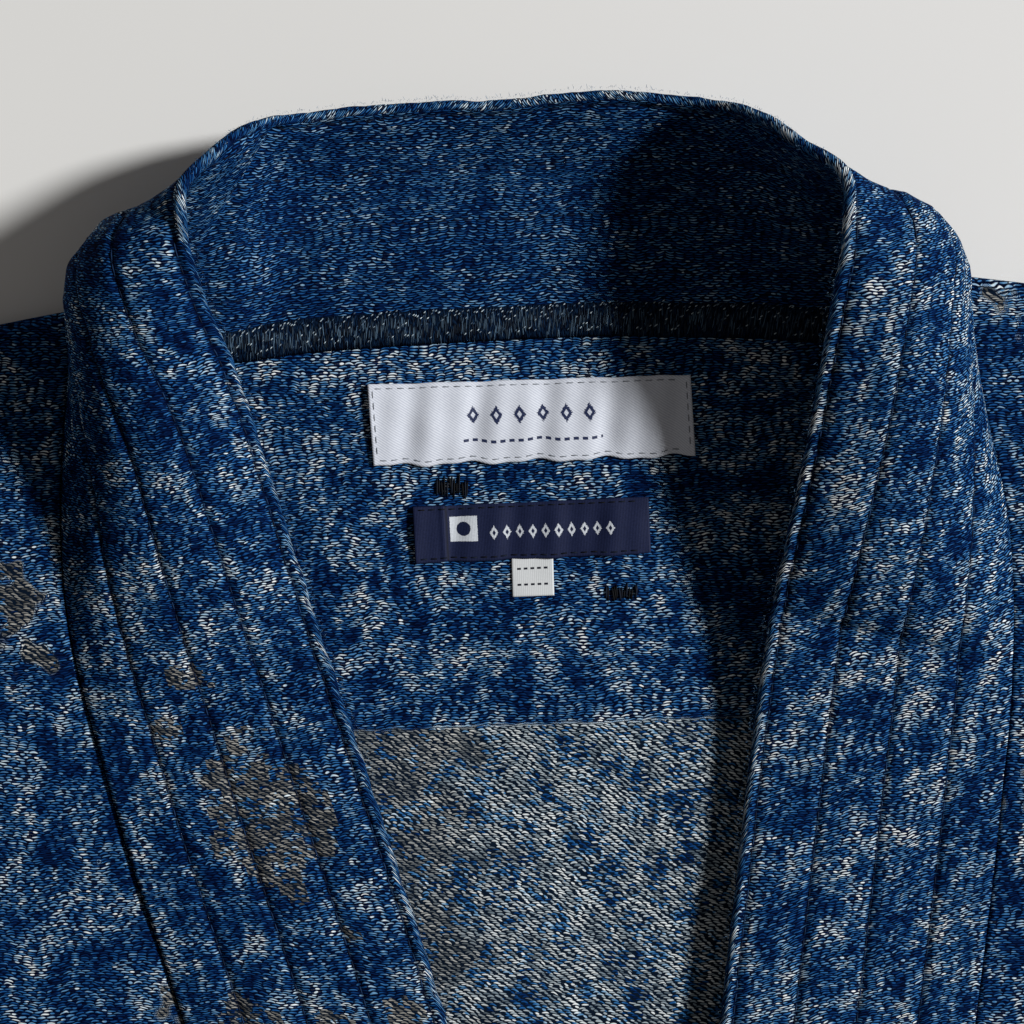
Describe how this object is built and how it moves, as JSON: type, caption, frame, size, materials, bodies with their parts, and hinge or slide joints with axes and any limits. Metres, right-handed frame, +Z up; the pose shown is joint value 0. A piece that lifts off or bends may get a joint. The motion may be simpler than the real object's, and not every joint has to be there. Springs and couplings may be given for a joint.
{
  "type": "haori shirt laid flat",
  "caption": "Open-front haori-style shirt in indigo jacquard cloth, laid flat on its back, its doubled collar band standing in a soft loop at the neck.",
  "frame": {"origin": "middle of the footprint, on the surface that the garment lies on", "axes": "+X across the garment from its left sleeve in the picture to the right one, +Y from the hem to the neck, +Z up"},
  "size_m": [1.2468, 0.7586, 0.0467],
  "materials": {
    "indigo_jacquard": "indigo jacquard weave with pale blue floats",
    "band_jacquard": "the same cloth, folded double and topstitched",
    "label_satin": "white satin ribbon",
    "label_woven": "navy woven ribbon",
    "tape_white": "white woven tape"
  },
  "bodies": {
    "root": {"back": "indigo_jacquard", "front_left": "indigo_jacquard", "front_right": "indigo_jacquard", "sleeve_left": "indigo_jacquard", "sleeve_right": "indigo_jacquard", "collar_band": "band_jacquard", "label_main": "label_satin", "label_origin": "label_woven", "label_tab": "tape_white"}
  },
  "joints": []
}
